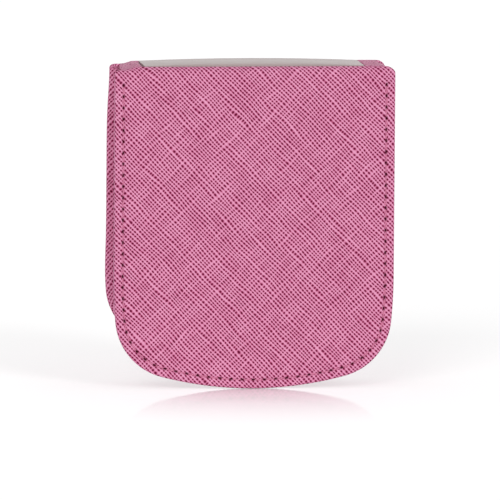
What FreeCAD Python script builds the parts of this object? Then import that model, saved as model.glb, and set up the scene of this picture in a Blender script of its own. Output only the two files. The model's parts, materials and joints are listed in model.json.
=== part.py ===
import FreeCAD, Part
import math
import os
import re
import Sketcher
from FreeCAD import Placement, Rotation, Vector

# A folding travel case for contact lenses, standing upright. X runs to the right, Y to the back and
# Z up. The origin is under the middle of the closed case, at the lowest point of the front flap.
# Lengths are in millimetres and angles in degrees.

SIZES = {
    # the closed case
    "case_width": 88, "case_height": 101, "case_depth": 24,
    "body_lift": 7.5,        # how much higher the back panel ends than the flap
    "body_inset": 3,         # how far the band and tray stand in from the panels' edges
    "bottom_radius": 112, "corner_radius": 19.5, "shoulder_radius": 150,
    "side_taper": 0.6,       # how far each side has drawn in where its lower corner begins
    # the layers of a leatherette panel, from outside to inside
    "skin": 0.8, "board": 1.2, "lining": 0.4,
    "board_inset": 1.6, "lining_inset": 0.9,
    # the straps that carry the flap over the top
    "strap_width": 6.2, "strap_gap": 0.4, "strap_round": 0.7, "strap_lining_round": 0.1,
    # stitching
    "stitch_inset": 2.8, "stitch_pitch": 3.5, "stitch_length": 2.5,
    "thread_width": 0.45, "thread_rise": 0.1, "stitch_start": 95.2,
    # side band and tray
    "band": 0.8, "flap_gap": 0.4, "tray_wall": 1.6, "tray_floor": 1.4, "top_wall": 1.6,
    "shoulder_gap": 0.2, "crown": 0.7, "overshoot": 5,
    "boss_width": 30, "boss_low": 12.9, "boss_top": 20.4, "boss_corner": 1,
    # magnets
    "magnet_width": 24, "magnet_height": 4.6, "magnet_depth": 1, "magnet_level": 17.1,
    "magnet_corner": 0.5, "magnet_room": 0.2, "board_room": 0.4,
    # mirror
    "mirror_width": 58, "mirror_height": 60, "mirror_level": 56, "mirror_corner": 6,
    "mirror_glass": 1, "frame_border": 2.2, "frame_depth": 0.5, "frame_step": 1,
    # insert: three layers of foam with windows for the kit
    "insert_half": 38, "insert_low": 21, "insert_high": 96.4, "insert_front": -4.5,
    "insert_corner": 13, "insert_top_corner": 3, "tool_floor": 3.4, "pocket_floor": 7.2,
    "window_corner": 2, "finger_room": 36.4,
    "lens_level": 79.4, "lens_window_width": 63, "lens_window_height": 31.4,
    "bottle_level": 52.1, "bottle_window_width": 62, "bottle_window_height": 20.8,
    "tool_level": 35.7, "tool_window_width": 60, "tool_window_height": 9.6,
    "stick_level": 26.2, "stick_window_width": 54, "stick_window_height": 7,
    "pinch_width": 16, "pinch_centre": -6,
    # lens container
    "foot_width": 62, "foot_height": 30, "foot_depth": 3, "foot_corner": 14,
    "well_spacing": 31, "well_radius": 10, "well_depth": 8.6, "well_round": 5,
    "neck_radius": 11.4, "neck_length": 10,
    "bead_radius": 11.9, "bead_depth": 0.7, "bead_first": 1.2, "bead_step": 2.4,
    "cap_radius": 13.6, "cap_bore": 12.1, "cap_skirt": 6.6, "cap_top": 1.5, "cap_round": 1.2,
    "seal_depth": 0.8, "seal_radius": 11.8, "grip_radius": 0.75, "grip_count": 30,
    # solution bottle
    "bottle_length": 41, "bottle_height": 20, "bottle_depth": 13, "bottle_side": 6.3,
    "bottle_wall": 0.8, "bottle_round": 3, "bottle_left": -30, "bottle_lay": 0.1,
    "spout_radius": 4.6, "spout_length": 7.5, "spout_wall": 1, "spout_root": 1,
    "nozzle_radius": 3.4, "nozzle_plug": 6, "nozzle_length": 4, "nozzle_tip": 1.5,
    "nozzle_bore": 0.5, "nozzle_flange": 4.4, "nozzle_flange_depth": 0.8, "plug_gap": 0.05,
    "lid_radius": 6, "lid_bore": 5, "lid_top": 1.4, "lid_round": 0.8,
    "lid_gap": 0.3, "lid_seal_depth": 0.8, "lid_seal_radius": 4.6, "lid_grip": 0.45,
    "lid_grip_count": 20,
    # tweezers
    "tail_left": -27, "tail_length": 6, "tail_height": 4.4, "tail_corner": 1.2, "arm_depth": 6,
    "arm_length": 36, "arm_thick": 1.3, "arm_root": 0.7, "arm_spread": 2.9, "arm_gap": 0.1,
    "tip_length": 9, "tip_thick": 1.7, "tip_round": 0.5, "tool_lay": 0.1,
    # lens inserter
    "stick_left": -24, "stick_length": 38, "stick_radius": 2, "stick_grip": 2.6,
    "grip_start": 3, "grip_length": 6,
    "stick_spigot": 1.2, "spigot_length": 5, "cup_radius": 3.2, "cup_length": 8,
    "cup_collar": 2, "cup_hollow": 2.4, "cup_deep": 1.6, "cup_room": 0.1, "cup_clearance": 0.02,
}

doc = FreeCAD.newDocument("LensCase")
sheet = doc.addObject("Spreadsheet::Sheet", "Sizes")
for row, (alias, number) in enumerate(SIZES.items(), start=1):
    sheet.set(f"A{row}", alias)
    sheet.set(f"B{row}", str(number))
    sheet.setAlias(f"B{row}", alias)
doc.recompute()

SAME = 0.01    # lengths nearer to each other than this are the same

# Levels that many parts share, as expressions in the sheet's names.
PANEL = "(skin + board + lining)"                  # thickness of a leatherette panel
FRONT = "(-case_depth / 2)"                        # outside of the flap
BACK = "(case_depth / 2)"                          # outside of the back panel
FLAP_IN = f"({FRONT} + {PANEL})"                   # inside of the flap
BACK_IN = f"({BACK} - {PANEL})"                    # inside of the back panel
FOLD = f"(case_height - {PANEL})"                  # height of both fold lines
RIM = f"({FLAP_IN} + flap_gap)"                    # front rim of the tray and band
TRAY_TOP = f"({FOLD} - shoulder_gap)"              # tray shoulders, under the straps
STRAP_OUT = "(case_width / 2 - body_inset)"        # outer edge of the straps
STRAP_IN = f"({STRAP_OUT} - strap_width)"          # inner edge of the straps
BLOCK_HALF = f"({STRAP_IN} - strap_gap)"           # half the tray wall between the straps
TRAY_OUT = "(body_inset + band)"
TRAY_IN = "(body_inset + band + tray_wall)"
CORNER_X = "(case_width / 2 - side_taper - corner_radius)"
BOTTOM_TO_CORNER = f"sqrt((bottom_radius - corner_radius)^2 - {CORNER_X}^2)"
CORNER_TO_SHOULDER = (
    "sqrt((shoulder_radius - corner_radius)^2"
    " - (shoulder_radius - side_taper - corner_radius)^2)"
)


def bound(text):
    """An expression with each size's name pointed at the sheet."""
    return re.sub(r"[a-z_]+", lambda m: "Sizes." + m[0] if m[0] in SIZES else m[0], text)


def value(text):
    """The present value of an expression in the sheet's names."""
    return float(sheet.evalExpression(bound(text)))


# --- sketches ---


def new_body(label, x="0", y="0", z="0"):
    """An empty body whose origin stands at the given place."""
    body = doc.addObject("PartDesign::Body", label)
    body.Label = label
    for axis, place in zip("xyz", (x, y, z)):
        body.setExpression(f".Placement.Base.{axis}", bound(place))
    return body


def new_sketch(body, name, plane="XZ_Plane", forward="0"):
    """A sketch on one of the body's planes, moved forward along the plane's normal."""
    sketch = body.newObject("Sketcher::SketchObject", f"{body.Label}_{name}")
    support = next(f for f in body.Origin.OriginFeatures if f.Role == plane)
    sketch.AttachmentSupport = [(support, "")]
    sketch.MapMode = "FlatFace"
    sketch.setExpression(".AttachmentOffset.Base.z", bound(forward))
    return sketch


def fix(sketch, kind, geometry, point, text):
    """Ties one coordinate of a point to an expression, measured from the sketch's origin."""
    index = sketch.addConstraint(
        Sketcher.Constraint(kind, -1, 1, geometry, point, value(text))
    )
    sketch.setExpression(f"Constraints[{index}]", bound(text))


def fix_radius(sketch, geometry, text):
    index = sketch.addConstraint(Sketcher.Constraint("Radius", geometry, value(text)))
    sketch.setExpression(f"Constraints[{index}]", bound(text))


def arc(centre, radius, start, end):
    circle = Part.Circle(Vector(centre[0], centre[1], 0), Vector(0, 0, 1), radius)
    return Part.ArcOfCircle(circle, start, end)


def line(start, end):
    return Part.LineSegment(Vector(start[0], start[1], 0), Vector(end[0], end[1], 0))


def outline_numbers(inset, base):
    """Centres, radii and joining angles of the case's outline, drawn in by inset."""
    centre_b = (0, value(f"{base} + bottom_radius"))
    centre_c = (value(CORNER_X), centre_b[1] - value(BOTTOM_TO_CORNER))
    centre_s = (value("case_width / 2 - shoulder_radius"), centre_c[1] + value(CORNER_TO_SHOULDER))
    radii = [value(f"{r} - {inset}") for r in ("bottom_radius", "corner_radius", "shoulder_radius")]
    lower = math.atan2(centre_c[1] - centre_b[1], centre_c[0] - centre_b[0])
    upper = math.atan2(centre_c[1] - centre_s[1], centre_c[0] - centre_s[0])
    return centre_b, centre_c, centre_s, radii, lower, upper


def case_outline(body, name, inset, base, high, forward="0"):
    """The case seen from the front: arched bottom, round corners, slightly tapered straight sides."""
    sketch = new_sketch(body, name, forward=forward)
    (bx, bz), (cx, cz), (sx, sz), (rb, rc, rs), lower, upper = outline_numbers(inset, base)
    half, top = value(f"case_width / 2 - {inset}"), value(high)
    bottom, corner_r, shoulder_r, side_r, lid, side_l, shoulder_l, corner_l, left = sketch.addGeometry([
        arc((bx, bz), rb, -math.pi / 2, lower),
        arc((cx, cz), rc, lower, upper),
        arc((sx, sz), rs, upper, 0),
        line((half, sz), (half, top)),
        line((half, top), (-half, top)),
        line((-half, top), (-half, sz)),
        arc((-sx, sz), rs, math.pi, math.pi - upper),
        arc((-cx, cz), rc, math.pi - upper, math.pi - lower),
        arc((bx, bz), rb, -math.pi - lower, -math.pi / 2),
    ], False)
    ring = [bottom, corner_r, shoulder_r, side_r, lid, side_l, shoulder_l, corner_l, left]
    for here, after in zip(ring, ring[1:] + ring[:1]):
        square = lid in (here, after)
        kind = "Coincident" if square else "Tangent"
        sketch.addConstraint(Sketcher.Constraint(kind, here, 2, after, 1))
    sketch.addConstraint([
        Sketcher.Constraint("Vertical", side_r),
        Sketcher.Constraint("Vertical", side_l),
        Sketcher.Constraint("Horizontal", lid),
        Sketcher.Constraint("PointOnObject", bottom, 3, -2),
        Sketcher.Constraint("PointOnObject", bottom, 1, -2),
    ])
    fix_radius(sketch, bottom, f"bottom_radius - {inset}")
    fix_radius(sketch, left, f"bottom_radius - {inset}")
    for corner, shoulder in ((corner_r, shoulder_r), (corner_l, shoulder_l)):
        fix_radius(sketch, corner, f"corner_radius - {inset}")
        fix_radius(sketch, shoulder, f"shoulder_radius - {inset}")
    fix(sketch, "DistanceY", bottom, 3, f"{base} + bottom_radius")
    fix(sketch, "DistanceX", corner_r, 3, CORNER_X)
    fix(sketch, "DistanceX", corner_l, 3, f"-{CORNER_X}")
    fix(sketch, "DistanceX", side_r, 1, f"case_width / 2 - {inset}")
    fix(sketch, "DistanceX", side_l, 2, f"-(case_width / 2 - {inset})")
    fix(sketch, "DistanceY", side_r, 2, high)
    return sketch


def round_box(body, name, centre, width, height, radius, plane="XZ_Plane", forward="0"):
    """A rectangle with round corners."""
    sketch = new_sketch(body, name, plane, forward)
    x, z = value(centre[0]), value(centre[1])
    w, h, r = value(width) / 2, value(height) / 2, value(radius)
    corners = [(w - r, h - r), (r - w, h - r), (r - w, r - h), (w - r, r - h)]
    right, top, left, bottom = 0, 2, 4, 6
    quarter = math.pi / 2
    flats = [
        line((x + w, z + r - h), (x + w, z + h - r)),
        line((x + w - r, z + h), (x + r - w, z + h)),
        line((x - w, z + h - r), (x - w, z + r - h)),
        line((x + r - w, z - h), (x + w - r, z - h)),
    ]
    shapes = []
    for turn, (flat, (dx, dz)) in enumerate(zip(flats, corners)):
        shapes += [flat, arc((x + dx, z + dz), r, turn * quarter, (turn + 1) * quarter)]
    sketch.addGeometry(shapes, False)
    for here in range(8):
        sketch.addConstraint(Sketcher.Constraint("Tangent", here, 2, (here + 1) % 8, 1))
    for flat in (right, top, left, bottom):
        kind = "Vertical" if flat in (right, left) else "Horizontal"
        sketch.addConstraint(Sketcher.Constraint(kind, flat))
        fix_radius(sketch, flat + 1, radius)
    fix(sketch, "DistanceX", right, 1, f"{centre[0]} + {width} / 2")
    fix(sketch, "DistanceX", left, 1, f"{centre[0]} - {width} / 2")
    fix(sketch, "DistanceY", top, 1, f"{centre[1]} + {height} / 2")
    fix(sketch, "DistanceY", bottom, 1, f"{centre[1]} - {height} / 2")
    return sketch


def circles(body, name, centres, radius, plane="XZ_Plane", forward="0"):
    """Circles of one radius."""
    sketch = new_sketch(body, name, plane, forward)
    for x, z in centres:
        place = Vector(value(x), value(z), 0)
        index = sketch.addGeometry(Part.Circle(place, Vector(0, 0, 1), value(radius)), False)
        fix_radius(sketch, index, radius)
        fix(sketch, "DistanceX", index, 3, x)
        fix(sketch, "DistanceY", index, 3, z)
    return sketch


def polygon(body, name, points, plane="XY_Plane", forward="0"):
    """A closed shape with straight sides, each corner tied to the sheet."""
    sketch = new_sketch(body, name, plane, forward)
    at = [(value(x), value(y)) for x, y in points]
    count = len(at)
    sketch.addGeometry([line(at[i], at[(i + 1) % count]) for i in range(count)], False)
    for i, (x, y) in enumerate(points):
        sketch.addConstraint(Sketcher.Constraint("Coincident", i, 2, (i + 1) % count, 1))
        fix(sketch, "DistanceX", i, 1, x)
        fix(sketch, "DistanceY", i, 1, y)
    return sketch


# --- features ---


def extrude(body, sketch, length, kind="Pad", reverse=False):
    feature = body.newObject(f"PartDesign::{kind}", f"{sketch.Name}_{kind.lower()}")
    feature.Profile = sketch
    feature.setExpression("Length", bound(length))
    feature.Reversed = reverse
    sketch.Visibility = False
    doc.recompute()
    return feature


def cut(body, sketch, depth, reverse=False):
    """Cuts a pocket into the body and makes sure that it took material away."""
    before = body.Shape.Volume
    feature = extrude(body, sketch, depth, "Pocket", reverse)
    if not body.Shape.Volume < before:
        raise RuntimeError(f"{feature.Label} cuts nothing")
    return feature


def revolve(body, sketch, axis):
    feature = body.newObject("PartDesign::Revolution", f"{sketch.Name}_turned")
    feature.Profile = sketch
    feature.ReferenceAxis = (sketch, [axis])
    feature.Angle = 360
    doc.recompute()
    return feature


def round_edges(body, radius, chosen):
    """Fillets the edges of the body for which chosen(edge) holds."""
    base = body.Tip
    names = [f"Edge{i}" for i, edge in enumerate(base.Shape.Edges, start=1) if chosen(edge)]
    if not names:
        raise RuntimeError(f"{body.Label} has no edge to round")
    fillet = body.newObject("PartDesign::Fillet", f"{body.Label}_round_{len(body.Group)}")
    fillet.Base = (base, names)
    fillet.setExpression("Radius", bound(radius))
    doc.recompute()
    return fillet


def repeat_round(body, feature, sketch, axis, count):
    pattern = body.newObject("PartDesign::PolarPattern", f"{feature.Name}_ring")
    pattern.Originals = [feature]
    pattern.Axis = (sketch, [axis])
    pattern.Angle = 360
    pattern.setExpression("Occurrences", bound(count))
    body.Tip = pattern
    doc.recompute()
    return pattern


def ring_at(centre, radius):
    """Chooses the round edges of one radius whose centre is at one place, in the body's own frame."""
    def chosen(edge):
        curve = edge.Curve
        round_edge = isinstance(curve, Part.Circle)
        return round_edge and abs(curve.Radius - radius) < SAME and (
            (curve.Center - centre).Length < SAME
        )
    return chosen


def runs_back(edge):
    """Chooses the straight edges that run from front to back."""
    box = edge.BoundBox
    return isinstance(edge.Curve, Part.Line) and box.XLength + box.ZLength < SAME


def panel(label, inset, base, high, front, back):
    """A flat layer with the case's outline, between two depths."""
    body = new_body(label, y=back)
    extrude(body, case_outline(body, "outline", inset, base, high), f"{back} - {front}")
    return body


# --- the flap ---


def flap_parts():
    """The flap's skin, board, lining, mirror, mirror frame and magnet bar."""
    skin_in = f"({FRONT} + skin)"
    board_in = f"({FRONT} + skin + board)"
    panel("flap_skin", "0", "0", FOLD, FRONT, skin_in)
    board = panel("flap_board", "board_inset", "0", f"{FOLD} - board_inset", skin_in, board_in)
    lining = panel("flap_lining", "lining_inset", "0", FOLD, board_in, FLAP_IN)
    middle = ("0", "mirror_level")
    window = round_box(board, "window", middle, "(mirror_width + board_room)",
                       "(mirror_height + board_room)", "mirror_corner", forward="board")
    cut(board, window, "board")
    seat = round_box(board, "magnet_seat", ("0", "magnet_level"), "(magnet_width + board_room)",
                     "(magnet_height + board_room)", "magnet_corner", forward="board")
    cut(board, seat, "board")
    sight = round_box(lining, "sight", middle, "(mirror_width - frame_border)",
                      "(mirror_height - frame_border)", "(mirror_corner - frame_step)", forward="lining")
    cut(lining, sight, "lining")
    mirror = new_body("mirror", y=board_in)
    face = round_box(mirror, "face", middle, "mirror_width", "mirror_height", "mirror_corner")
    extrude(mirror, face, "mirror_glass")
    frame = new_body("mirror_frame", y=f"{FLAP_IN} + frame_depth")
    outer = round_box(frame, "outer", middle, "(mirror_width + frame_border)",
                      "(mirror_height + frame_border)", "(mirror_corner + frame_step)")
    extrude(frame, outer, "frame_depth")
    inner = round_box(frame, "inner", middle, "(mirror_width - frame_border)",
                      "(mirror_height - frame_border)", "(mirror_corner - frame_step)",
                      forward="frame_depth")
    cut(frame, inner, "frame_depth")
    magnet_bar("flap_magnet", board_in)


def magnet_bar(label, back):
    body = new_body(label, y=back)
    face = round_box(body, "face", ("0", "magnet_level"), "magnet_width", "magnet_height",
                     "magnet_corner")
    extrude(body, face, "magnet_depth")


# --- the top fold ---


def strap_parts():
    """The strap at each end of the top, with its lining under it."""
    for side, name in ((-1, "left"), (1, "right")):
        left = STRAP_IN if side > 0 else f"-{STRAP_OUT}"
        label = f"{name}_strap"
        strap = new_body(label, x=left, y=BACK_IN, z=f"{FOLD} + lining")
        section = ("strap_width / 2", "(skin + board) / 2")
        round_bar = round_box(strap, "section", section, "strap_width", "(skin + board)", "strap_round")
        extrude(strap, round_bar, f"{BACK_IN} - {FLAP_IN}")
        lining = new_body(f"{label}_lining", x=left, y=BACK_IN, z=FOLD)
        flat = round_box(lining, "section", ("strap_width / 2", "lining / 2"),
                         "(strap_width - 2 * lining)", "lining", "strap_lining_round")
        extrude(lining, flat, f"{BACK_IN} - {FLAP_IN}")


# --- the back panel, band and tray ---


def back_parts():
    """The back panel's skin, board and lining."""
    skin_in = f"({BACK} - skin)"
    board_in = f"({BACK} - skin - board)"
    panel("back_sheet", "0", "body_lift", FOLD, skin_in, BACK)
    panel("back_board", "board_inset", "body_lift", f"{FOLD} - board_inset", board_in, skin_in)
    panel("back_lining", "lining_inset", "body_lift", FOLD, BACK_IN, board_in)


def side_band():
    """The leatherette strip round the left side, the bottom and the right side."""
    band = panel("side_band", "body_inset", "body_lift", TRAY_TOP, RIM, BACK_IN)
    inside = case_outline(band, "inside", TRAY_OUT, "body_lift", f"{TRAY_TOP} + overshoot",
                          forward=f"{BACK_IN} - {RIM}")
    cut(band, inside, f"{BACK_IN} - {RIM}")


def tray():
    """The open moulded tray, with the crowned wall that stands up between the straps."""
    depth = f"({BACK_IN} - {RIM})"
    body = panel("tray", TRAY_OUT, "body_lift", TRAY_TOP, RIM, BACK_IN)
    wall = new_sketch(body, "top_wall")
    half, low, high = value(BLOCK_HALF), value(f"{TRAY_TOP} - top_wall"), value("case_height")
    rise = value("crown")
    radius = (half**2 + rise**2) / (2 * rise)
    lean = math.asin(half / radius)
    wall.addGeometry([
        line((-half, low), (half, low)),
        line((half, low), (half, high)),
        arc((0, high + rise - radius), radius, math.pi / 2 - lean, math.pi / 2),
        arc((0, high + rise - radius), radius, math.pi / 2, math.pi / 2 + lean),
        line((-half, high), (-half, low)),
    ], False)
    for here in range(5):
        kind = "Tangent" if here == 2 else "Coincident"
        wall.addConstraint(Sketcher.Constraint(kind, here, 2, (here + 1) % 5, 1))
    wall.addConstraint([
        Sketcher.Constraint("Horizontal", 0),
        Sketcher.Constraint("Vertical", 1),
        Sketcher.Constraint("Vertical", 4),
        Sketcher.Constraint("PointOnObject", 2, 2, -2),
        Sketcher.Constraint("PointOnObject", 2, 3, -2),
    ])
    fix(wall, "DistanceX", 1, 1, BLOCK_HALF)
    fix(wall, "DistanceX", 4, 1, f"-{BLOCK_HALF}")
    fix(wall, "DistanceY", 0, 1, f"{TRAY_TOP} - top_wall")
    fix(wall, "DistanceY", 1, 2, "case_height")
    for half_arc in (2, 3):
        fix_radius(wall, half_arc, f"({BLOCK_HALF}^2 + crown^2) / (2 * crown)")
    extrude(body, wall, depth)
    hollow = case_outline(body, "hollow", TRAY_IN, "body_lift", f"{TRAY_TOP} - top_wall",
                          forward=depth)
    cut(body, hollow, f"{depth} - tray_floor")
    boss = round_box(body, "boss", ("0", "(boss_top + boss_low) / 2"), "boss_width",
                     "(boss_top - boss_low)", "boss_corner", forward="tray_floor")
    extrude(body, boss, f"{depth} - tray_floor")
    seat = round_box(body, "magnet_seat", ("0", "magnet_level"), "(magnet_width + magnet_room)",
                     "(magnet_height + magnet_room)", "magnet_corner", forward=depth)
    cut(body, seat, "magnet_depth")
    magnet_bar("tray_magnet", f"{RIM} + magnet_depth")


def window(body, name, left, right, level, height, depth):
    """A window right through a foam layer, between two places along X."""
    shape = round_box(body, name, (f"(({left}) + ({right})) / 2", level), f"(({right}) - ({left}))",
                      height, "window_corner", forward=depth)
    cut(body, shape, depth)


def insert():
    """The foam insert: a top layer with all the windows, a middle layer for the deep things, a base."""
    layers = (
        ("insert_top", "insert_front", "tool_floor"),
        ("insert_middle", "tool_floor", "pocket_floor"),
        ("insert_base", "pocket_floor", f"({BACK_IN} - tray_floor)"),
    )
    low_half = value("(insert_low + insert_high) / 2")
    for label, front, back in layers:
        body = new_body(label, y=back)
        extrude(body, polygon(body, "block", [
            ("-insert_half", "insert_low"),
            ("insert_half", "insert_low"),
            ("insert_half", "insert_high"),
            ("-insert_half", "insert_high"),
        ], plane="XZ_Plane"), f"{back} - {front}")
        round_edges(body, "insert_corner", lambda edge: runs_back(edge) and (
            edge.CenterOfMass.z < low_half
        ))
        round_edges(body, "insert_top_corner", lambda edge: runs_back(edge) and (
            edge.CenterOfMass.z > value("insert_high") - SAME
        ))
    # the top layer leaves room for a fingertip at both ends of the container and at the bottle's base
    top, depth = doc.getObject("insert_top"), "(tool_floor - insert_front)"
    window(top, "lens_window", "-finger_room", "finger_room", "lens_level", "lens_window_height", depth)
    window(top, "bottle_window", "-finger_room", "bottle_window_width / 2", "bottle_level",
           "bottle_window_height", depth)
    window(top, "tool_window", "-tool_window_width / 2", "tool_window_width / 2", "tool_level",
           "tool_window_height", depth)
    window(top, "stick_window", "-stick_window_width / 2", "stick_window_width / 2", "stick_level",
           "stick_window_height", depth)
    window(top, "pinch_window", "pinch_centre - pinch_width / 2", "pinch_centre + pinch_width / 2",
           "((tool_level + stick_level) / 2)", "(tool_level - stick_level)", depth)
    middle, depth = doc.getObject("insert_middle"), "(pocket_floor - tool_floor)"
    for name in ("lens", "bottle"):
        width = f"{name}_window_width"
        window(middle, f"{name}_pocket", f"-{width} / 2", f"{width} / 2", f"{name}_level",
               f"{name}_window_height", depth)


# --- the lens container ---

WELL_SIDES = (("left", "-well_spacing / 2"), ("right", "well_spacing / 2"))


def lens_container():
    """The twin wells on one foot, each with an outside thread of plain beads."""
    body = new_body("lens_container", y="pocket_floor", z="lens_level")
    foot = round_box(body, "foot", ("0", "0"), "foot_width", "foot_height", "foot_corner")
    extrude(body, foot, "foot_depth")
    centres = [(x, "0") for _, x in WELL_SIDES]
    extrude(body, circles(body, "necks", centres, "neck_radius"), "neck_length")
    for step in ("bead_first", "(bead_first + bead_step)"):
        level = f"neck_length - {step} - bead_depth"
        beads = circles(body, f"beads_{len(body.Group)}", centres, "bead_radius", forward=level)
        extrude(body, beads, "bead_depth")
    wells = circles(body, "wells", centres, "well_radius", forward="neck_length")
    cut(body, wells, "well_depth")
    floor = value("neck_length - well_depth")
    for _, x in WELL_SIDES:
        round_edges(body, "well_round", ring_at(Vector(value(x), -floor, 0), value("well_radius")))


def cap_parts():
    """For each well a screw cap with a ribbed grip, and the sealing disc inside it."""
    for name, x in WELL_SIDES:
        rim = "(pocket_floor - neck_length)"
        seal = new_body(f"{name}_seal", x=x, y=rim, z="lens_level")
        extrude(seal, circles(seal, "disc", [("0", "0")], "seal_radius"), "seal_depth")
        cap = new_body(f"{name}_cap", x=x, y=f"{rim} - seal_depth", z="lens_level")
        profile = polygon(cap, "profile", [
            ("0", "0"),
            ("cap_bore", "0"),
            ("cap_bore", "cap_skirt"),
            ("cap_radius", "cap_skirt"),
            ("cap_radius", "-cap_top"),
            ("0", "-cap_top"),
        ])
        revolve(cap, profile, "V_Axis")
        outside = Vector(0, -value("cap_top"), 0)
        round_edges(cap, "cap_round", ring_at(outside, value("cap_radius")))
        groove = circles(cap, "groove", [("0", "cap_radius + grip_radius / 3")], "grip_radius",
                         forward="-cap_skirt")
        flute = cut(cap, groove, "cap_skirt", reverse=True)
        repeat_round(cap, flute, groove, "N_Axis", "grip_count")


# --- the solution bottle ---

BOTTLE_Y = "(pocket_floor - bottle_depth / 2 - bottle_lay)"
BOTTLE_END = "(bottle_left + bottle_length)"


def bottle_form(label, shrink, spout):
    """A flat oval bottle lying along X with a round spout, drawn in all round by shrink."""
    body = new_body(label, x=f"bottle_left + {shrink}", y=BOTTLE_Y, z="bottle_level")
    section = round_box(body, "section", ("0", "0"), f"(bottle_depth - 2 * {shrink})",
                        f"(bottle_height - 2 * {shrink})", f"(bottle_side - {shrink})", plane="YZ_Plane")
    length = f"(bottle_length - 2 * {shrink})"
    extrude(body, section, length)
    end = value(length)

    def at_an_end(edge):
        box = edge.BoundBox
        return box.XLength < SAME and (abs(box.XMin) < SAME or abs(box.XMin - end) < SAME)

    round_edges(body, f"bottle_round - {shrink}", at_an_end)
    neck = circles(body, "spout", [("0", "0")], spout, plane="YZ_Plane", forward=f"{length} - spout_root")
    extrude(body, neck, f"spout_length + spout_root + {shrink}")
    return body


def bottle_parts():
    """The blown bottle, its dropper nozzle, and its ribbed screw cap with a sealing disc."""
    bottle = doc.addObject("Part::Cut", "bottle")
    bottle.Label = "bottle"
    bottle.Base = bottle_form("bottle_outside", "0", "spout_radius")
    bottle.Tool = bottle_form("bottle_hollow", "bottle_wall", "(spout_radius - spout_wall)")
    mouth = f"({BOTTLE_END} + spout_length)"
    nozzle = new_body("bottle_nozzle", x=mouth, y=BOTTLE_Y, z="bottle_level")
    plug = "(spout_radius - spout_wall - plug_gap)"
    revolve(nozzle, polygon(nozzle, "profile", [
        ("-nozzle_plug", "nozzle_bore"),
        ("-nozzle_plug", plug),
        ("0", plug),
        ("0", "nozzle_flange"),
        ("nozzle_flange_depth", "nozzle_flange"),
        ("nozzle_flange_depth", "nozzle_radius"),
        ("nozzle_length", "nozzle_tip"),
        ("nozzle_length", "nozzle_bore"),
    ]), "H_Axis")
    seal_left = f"({mouth} + nozzle_length)"
    seal = new_body("bottle_cap_seal", x=seal_left, y=BOTTLE_Y, z="bottle_level")
    disc = circles(seal, "disc", [("0", "0")], "lid_seal_radius", plane="YZ_Plane")
    extrude(seal, disc, "lid_seal_depth")
    cap = new_body("bottle_cap", x=f"{seal_left} + lid_seal_depth", y=BOTTLE_Y, z="bottle_level")
    skirt = f"({BOTTLE_END} + lid_gap - {seal_left} - lid_seal_depth)"
    revolve(cap, polygon(cap, "profile", [
        (skirt, "lid_bore"),
        (skirt, "lid_radius"),
        ("lid_top", "lid_radius"),
        ("lid_top", "0"),
        ("0", "0"),
        ("0", "lid_bore"),
    ]), "H_Axis")
    round_edges(cap, "lid_round", ring_at(Vector(value("lid_top"), 0, 0), value("lid_radius")))
    groove = circles(cap, "groove", [("0", "lid_radius + lid_grip / 3")], "lid_grip", plane="YZ_Plane",
                     forward=skirt)
    flute = cut(cap, groove, f"-{skirt}", reverse=True)
    repeat_round(cap, flute, groove, "N_Axis", "lid_grip_count")


# --- the tools ---

TOOL_Y = "(tool_floor - tool_lay)"
ARM_LEFT = "(tail_left + tail_length + arm_gap)"


def tweezer_parts():
    """The tail block, two straight arms that spread towards the tips, and their soft tips."""
    tail = new_body("tweezers_tail", y=TOOL_Y, z="tool_level")
    extrude(tail, round_box(tail, "side", ("tail_left + tail_length / 2", "0"), "tail_length",
                            "tail_height", "tail_corner"), "arm_depth")
    for name, way in (("upper", ""), ("lower", "-")):
        arm = new_body(f"{name}_arm", x=ARM_LEFT, y=TOOL_Y, z="tool_level")
        extrude(arm, polygon(arm, "side", [
            ("0", f"{way}arm_root"),
            ("arm_length", f"{way}arm_spread"),
            ("arm_length", f"{way}(arm_spread + arm_thick)"),
            ("0", f"{way}(arm_root + arm_thick)"),
        ], plane="XZ_Plane"), "arm_depth")
        tip = new_body(f"{name}_tip", x=f"{ARM_LEFT} + arm_length", y=TOOL_Y, z="tool_level")
        extrude(tip, round_box(tip, "side", ("tip_length / 2", f"{way}(arm_spread + arm_thick / 2)"),
                               "tip_length", "tip_thick", "tip_round"), "arm_depth")


def inserter_parts():
    """The lens inserter: a turned stick with a spigot, and the soft cup pushed on to it."""
    middle = "(tool_floor - cup_radius - tool_lay)"
    stick = new_body("inserter_stick", x="stick_left", y=middle, z="stick_level")
    revolve(stick, polygon(stick, "profile", [
        ("0", "0"),
        ("0", "stick_radius"),
        ("grip_start", "stick_grip"),
        ("(grip_start + grip_length)", "stick_grip"),
        ("(2 * grip_start + grip_length)", "stick_radius"),
        ("stick_length", "stick_radius"),
        ("stick_length", "stick_spigot"),
        ("(stick_length + spigot_length)", "stick_spigot"),
        ("(stick_length + spigot_length)", "0"),
    ]), "H_Axis")
    cup = new_body("inserter_cup", x="stick_left + stick_length", y=middle, z="stick_level")
    bore = "(stick_spigot + cup_clearance)"
    revolve(cup, polygon(cup, "profile", [
        ("0", bore),
        ("0", "stick_radius"),
        ("cup_collar", "stick_radius"),
        ("cup_length", "cup_radius"),
        ("cup_length", "cup_hollow"),
        ("(cup_length - cup_deep)", "stick_spigot / 2"),
        ("(cup_length - cup_deep)", "0"),
        ("(spigot_length + cup_room)", "0"),
        ("(spigot_length + cup_room)", bore),
    ]), "H_Axis")


# --- stitching ---


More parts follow.
